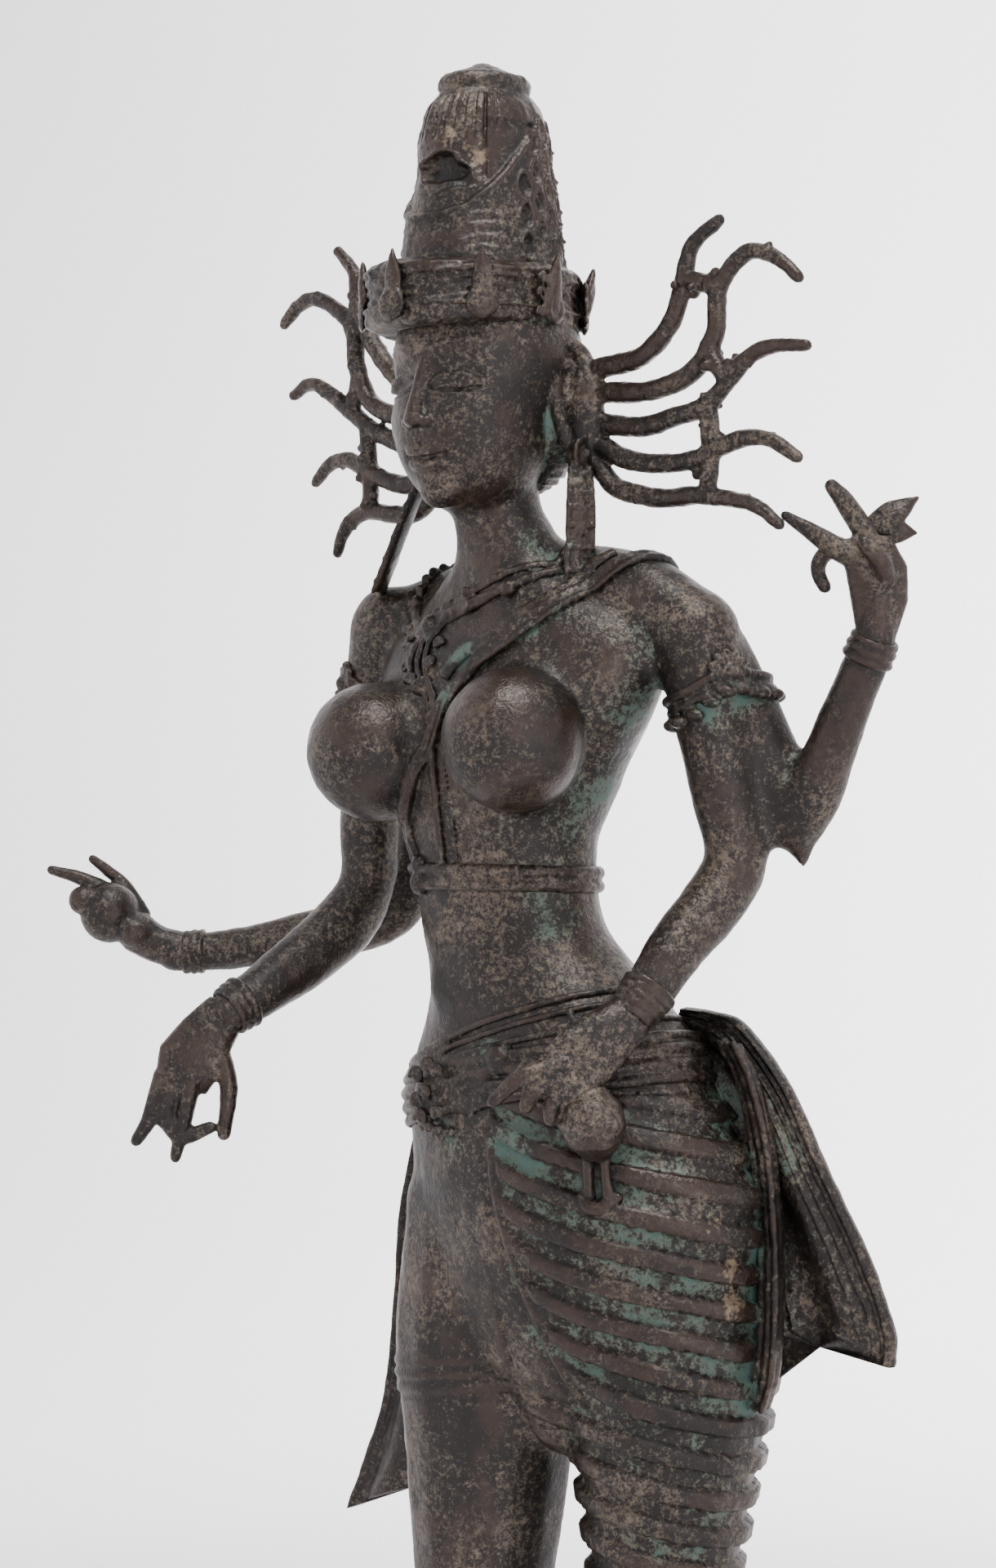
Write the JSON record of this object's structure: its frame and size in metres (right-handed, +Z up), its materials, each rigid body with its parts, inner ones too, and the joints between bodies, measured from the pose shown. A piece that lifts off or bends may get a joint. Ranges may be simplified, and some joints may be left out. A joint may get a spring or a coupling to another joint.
{
  "type": "parvati statue",
  "caption": "Standing four-armed goddess in cast bronze with a tall crown, fanned hair locks and a pleated skirt, on a low round lotus base.",
  "frame": {"origin": "centre of the base's flat underside", "axes": "+Z up, -Y the way the figure faces, +X to the figure's own left"},
  "size_m": [0.3519, 0.204, 0.8861],
  "materials": {
    "figure_bronze": "dark brown cast bronze with green verdigris in the hollows",
    "base_bronze": "dark brown cast bronze, duller than the figure"
  },
  "bodies": {
    "root": {"figure": "figure_bronze", "base": "base_bronze"}
  },
  "joints": []
}
